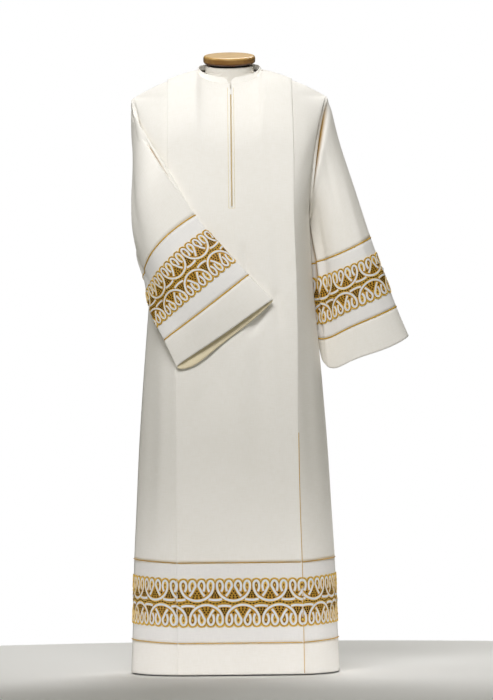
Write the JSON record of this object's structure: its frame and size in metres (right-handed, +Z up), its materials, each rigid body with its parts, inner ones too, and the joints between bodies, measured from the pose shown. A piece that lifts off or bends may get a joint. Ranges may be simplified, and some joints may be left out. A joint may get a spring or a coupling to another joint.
{
  "type": "alb robe on a dress form",
  "caption": "Full-length cream linen alb with set-in wide sleeves, lace bands at hem and cuffs, neckband and front zip, dressed on a limbless tailor's form on a stand.",
  "frame": {"origin": "on the floor, on the axis of the stand's pole", "axes": "+Z up, the front of the alb faces -Y, +X to the right of someone looking at the front"},
  "size_m": [0.7012, 0.3942, 1.5516],
  "materials": {
    "linen": "matt",
    "white_linen": "matt",
    "zip_tape_cloth": "matt",
    "zip_metal": "satin",
    "jersey": "matt",
    "wood": "satin",
    "black_felt": "matt",
    "steel": "satin"
  },
  "bodies": {
    "alb_and_form": {"front_bodice": "linen", "front_lace_band": "white_linen", "front_hem_band": "linen", "back_bodice": "linen", "back_lace_band": "white_linen", "back_hem_band": "linen", "neckband": "linen", "zip_tape_left": "zip_tape_cloth", "zip_tape_right": "zip_tape_cloth", "zip_slider": "zip_metal", "left_sleeve": "linen", "left_sleeve_lace_band": "white_linen", "left_sleeve_cuff": "linen", "right_sleeve": "linen", "right_sleeve_lace_band": "white_linen", "right_sleeve_cuff": "linen", "form_torso": "jersey", "form_neck_cap": "wood", "form_neck_spacer": "black_felt", "form_pole": "steel", "form_base": "steel"},
    "pull_tab": {"zip_pull_tab": "zip_metal"}
  },
  "joints": [
    {"name": "pull_tab_hinge", "type": "hinge", "parent": "alb_and_form", "child": "pull_tab", "pos_m": [0.003, -0.08553, 1.45379], "axis": [-1, 0, 0], "range_deg": [0, 140]}
  ]
}
